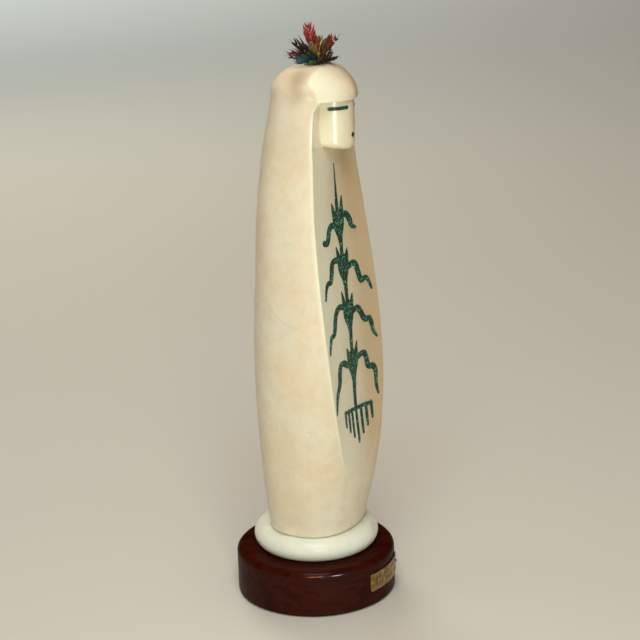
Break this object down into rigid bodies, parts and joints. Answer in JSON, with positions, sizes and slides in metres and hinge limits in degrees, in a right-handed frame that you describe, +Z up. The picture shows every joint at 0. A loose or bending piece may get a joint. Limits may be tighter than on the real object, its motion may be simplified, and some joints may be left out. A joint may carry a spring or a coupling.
{
  "type": "corn maiden sculpture",
  "caption": "Tall carved stone woman wrapped in a smooth mantle, with an inlaid green corn plant on her front and feathers on her crown, on a stone ring and a round wooden base.",
  "frame": {"origin": "the middle of the underside of the wooden base", "axes": "+Z up, the figure faces -Y, and her right side is on -X"},
  "size_m": [0.16, 0.161, 0.5807],
  "materials": {
    "wood": "satin",
    "marble": "gloss",
    "alabaster": "satin",
    "green_stone": "satin",
    "dark_stone": "satin",
    "brass": "satin",
    "red_feather": "satin",
    "rust_feather": "satin",
    "orange_feather": "satin",
    "ochre_feather": "satin",
    "yellow_feather": "satin",
    "olive_feather": "satin",
    "brown_feather": "satin",
    "dark_feather": "satin",
    "teal_feather": "satin",
    "green_feather": "satin"
  },
  "bodies": {
    "root": {"wood_base": "wood", "stone_ring": "marble", "figure": "alabaster", "corn_inlay": "green_stone", "eye_inlay_right": "green_stone", "eye_inlay_left": "green_stone", "mouth_inlay": "dark_stone", "name_plate": "brass", "plate_pin_right": "brass", "plate_pin_left": "brass", "feather_red_1": "red_feather", "feather_rust_1": "rust_feather", "feather_rust_2": "rust_feather", "feather_rust_3": "rust_feather", "feather_orange_1": "orange_feather", "feather_ochre_1": "ochre_feather", "feather_ochre_2": "ochre_feather", "feather_yellow_1": "yellow_feather", "feather_olive_1": "olive_feather", "feather_olive_2": "olive_feather", "feather_olive_3": "olive_feather", "feather_brown_1": "brown_feather", "feather_brown_2": "brown_feather", "feather_brown_3": "brown_feather", "feather_dark_1": "dark_feather", "feather_dark_2": "dark_feather", "feather_dark_3": "dark_feather", "feather_dark_4": "dark_feather", "feather_dark_5": "dark_feather", "feather_dark_6": "dark_feather", "feather_dark_7": "dark_feather", "feather_teal_1": "teal_feather", "feather_green_1": "green_feather"}
  },
  "joints": []
}
